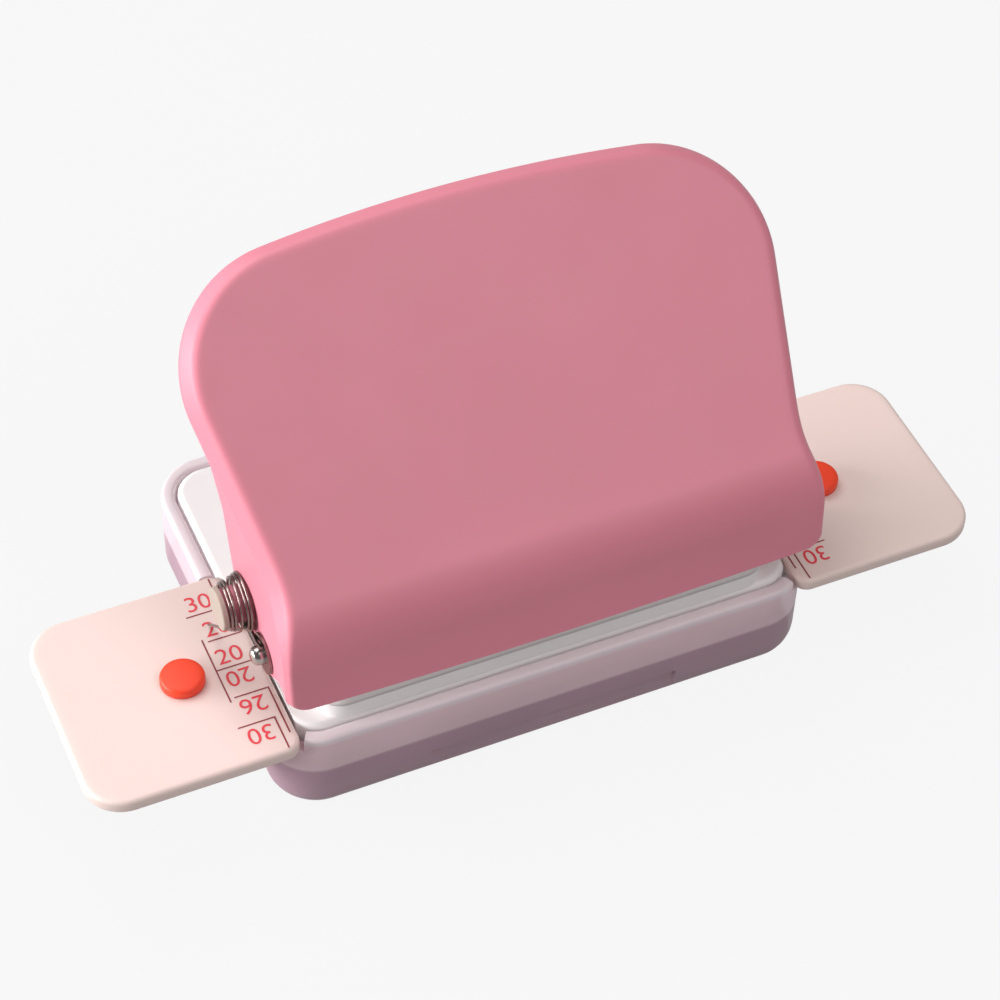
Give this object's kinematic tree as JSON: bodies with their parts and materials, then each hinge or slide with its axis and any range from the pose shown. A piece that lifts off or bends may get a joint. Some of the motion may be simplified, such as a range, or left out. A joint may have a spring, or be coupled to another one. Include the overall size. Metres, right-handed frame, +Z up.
{
  "type": "hole punch",
  "caption": "Desk punch for loose-leaf paper: a sprung pink handle drives a row of steel punches over a chip tray, with gauge wings and index pegs at both ends.",
  "frame": {"origin": "centre of the chip tray's flat resting face", "axes": "+X along the row of punches, +Y to the back where the paper goes in, +Z up"},
  "size_m": [0.1172, 0.05, 0.0631],
  "materials": {
    "pink_plastic": "satin pink",
    "lavender_plastic": "translucent, pale lavender",
    "white_plastic": "satin white",
    "cream_plastic": "satin cream with red print",
    "red_plastic": "orange-red, moulded",
    "steel": "ground",
    "bright_steel": "bright plated"
  },
  "bodies": {
    "tray": {"chip_tray": "lavender_plastic"},
    "base": {"base_frame": "white_plastic", "die_plate": "steel", "paper_stop": "white_plastic", "punch_guide": "steel", "head_housing": "white_plastic", "head_screws": "steel", "pivot_pin": "bright_steel", "left_pivot_washer": "bright_steel", "right_pivot_washer": "bright_steel", "left_wing": "cream_plastic", "right_wing": "cream_plastic", "left_peg": "red_plastic", "right_peg": "red_plastic", "wing_screws": "steel"},
    "punches": {"punch_1": "steel", "punch_2": "steel", "punch_3": "steel", "punch_4": "steel", "punch_5": "steel", "punch_6": "steel"},
    "handle": {"handle_shell": "pink_plastic", "drive_pin": "steel", "left_spring": "bright_steel", "right_spring": "bright_steel", "left_spring_cap": "white_plastic", "right_spring_cap": "white_plastic"}
  },
  "joints": [
    {"name": "tray_release", "type": "slide", "parent": "tray", "child": "base", "axis": [0, 0, 1], "range_m": [0, 0.03]},
    {"name": "handle_press", "type": "hinge", "parent": "base", "child": "handle", "pos_m": [0, -0.0157, 0.0224], "axis": [-1, 0, 0], "range_deg": [0, 45], "stiffness_Nm_per_rad": 0.15, "springref_deg": -22.92, "deforming": ["left_spring", "right_spring"]},
    {"name": "punch_stroke", "type": "slide", "parent": "base", "child": "punches", "axis": [0, 0, -1], "range_m": [0, 0.00505]}
  ],
  "couplings": [
    {"joint": "punch_stroke", "follows": "handle_press", "m_per_rad": 0.006415}
  ]
}
